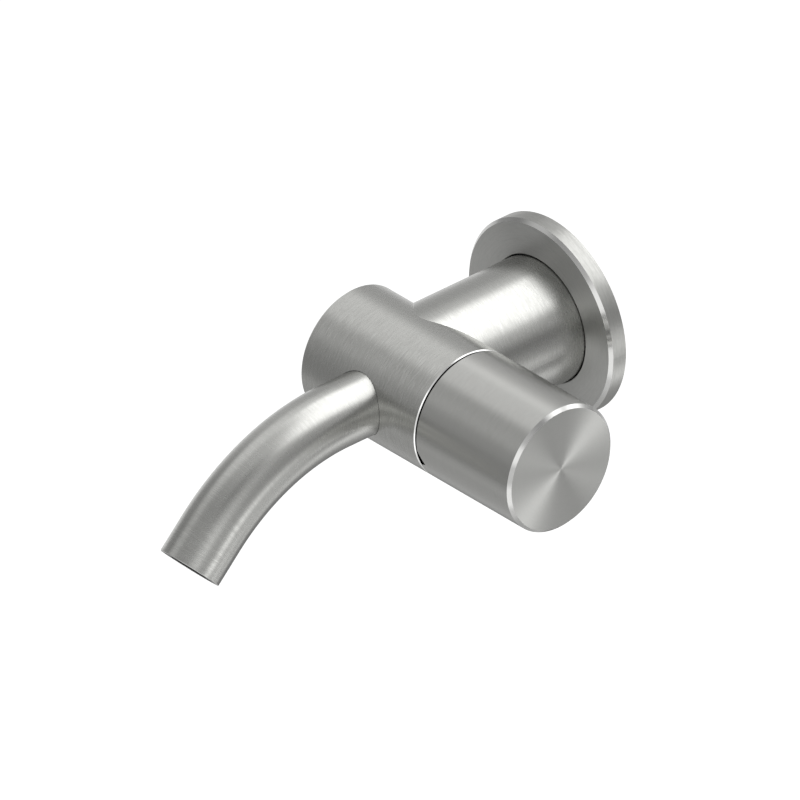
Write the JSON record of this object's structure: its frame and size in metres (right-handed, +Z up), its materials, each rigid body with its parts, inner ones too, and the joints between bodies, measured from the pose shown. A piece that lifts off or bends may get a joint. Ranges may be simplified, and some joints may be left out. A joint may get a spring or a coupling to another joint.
{
  "type": "basin mixer tap",
  "caption": "Wall-mounted basin mixer tap in brushed stainless steel: round rosette, straight arm, horizontal barrel with a turned end knob, and a short spout bent down.",
  "frame": {"origin": "centre of the wall face, where the arm's axis meets the wall", "axes": "+Y into the wall, -Y out of the wall along the arm, +X along the barrel towards the knob, +Z up"},
  "size_m": [0.0981, 0.151, 0.0672],
  "materials": {
    "brushed_steel": "brushed across the axis",
    "satin_steel": "fine turned satin",
    "tube_steel": "drawn",
    "screw_steel": "machined",
    "brass": "machined",
    "rubber": "smooth",
    "ceramic": "lapped",
    "white_plastic": "smooth",
    "aerator_plastic": "moulded"
  },
  "bodies": {
    "tap": {"tap_body": "brushed_steel", "arm_lock_screw": "screw_steel", "wall_manifold": "brass", "hot_supply_tube": "tube_steel", "cold_supply_tube": "tube_steel", "hot_tube_wall_o_ring": "rubber", "hot_tube_housing_o_ring": "rubber", "cold_tube_wall_o_ring": "rubber", "cold_tube_housing_o_ring": "rubber", "cartridge_housing": "brass", "port_seal": "rubber", "fixed_ceramic_disc": "ceramic", "cartridge_body": "brass", "cartridge_o_ring": "rubber", "glide_washer": "white_plastic", "cartridge_nut": "brass", "spout_tube": "brushed_steel", "spout_seal": "rubber", "aerator_housing": "aerator_plastic", "aerator_insert": "aerator_plastic", "aerator_washer": "rubber"},
    "knob": {"knob_shell": "satin_steel", "knob_hub": "brass", "knob_grub_screw": "screw_steel", "spindle": "brass", "spindle_o_ring": "rubber", "moving_ceramic_disc": "ceramic"},
    "rosette": {"wall_rosette": "brushed_steel", "rosette_o_ring": "rubber"}
  },
  "joints": [
    {"name": "knob_turn", "type": "hinge", "parent": "tap", "child": "knob", "pos_m": [0, -0.0575, 0], "axis": [1, 0, 0], "range_deg": [0, 120]},
    {"name": "rosette_slide", "type": "slide", "parent": "tap", "child": "rosette", "axis": [0, -1, 0], "range_m": [0, 0.03]}
  ]
}
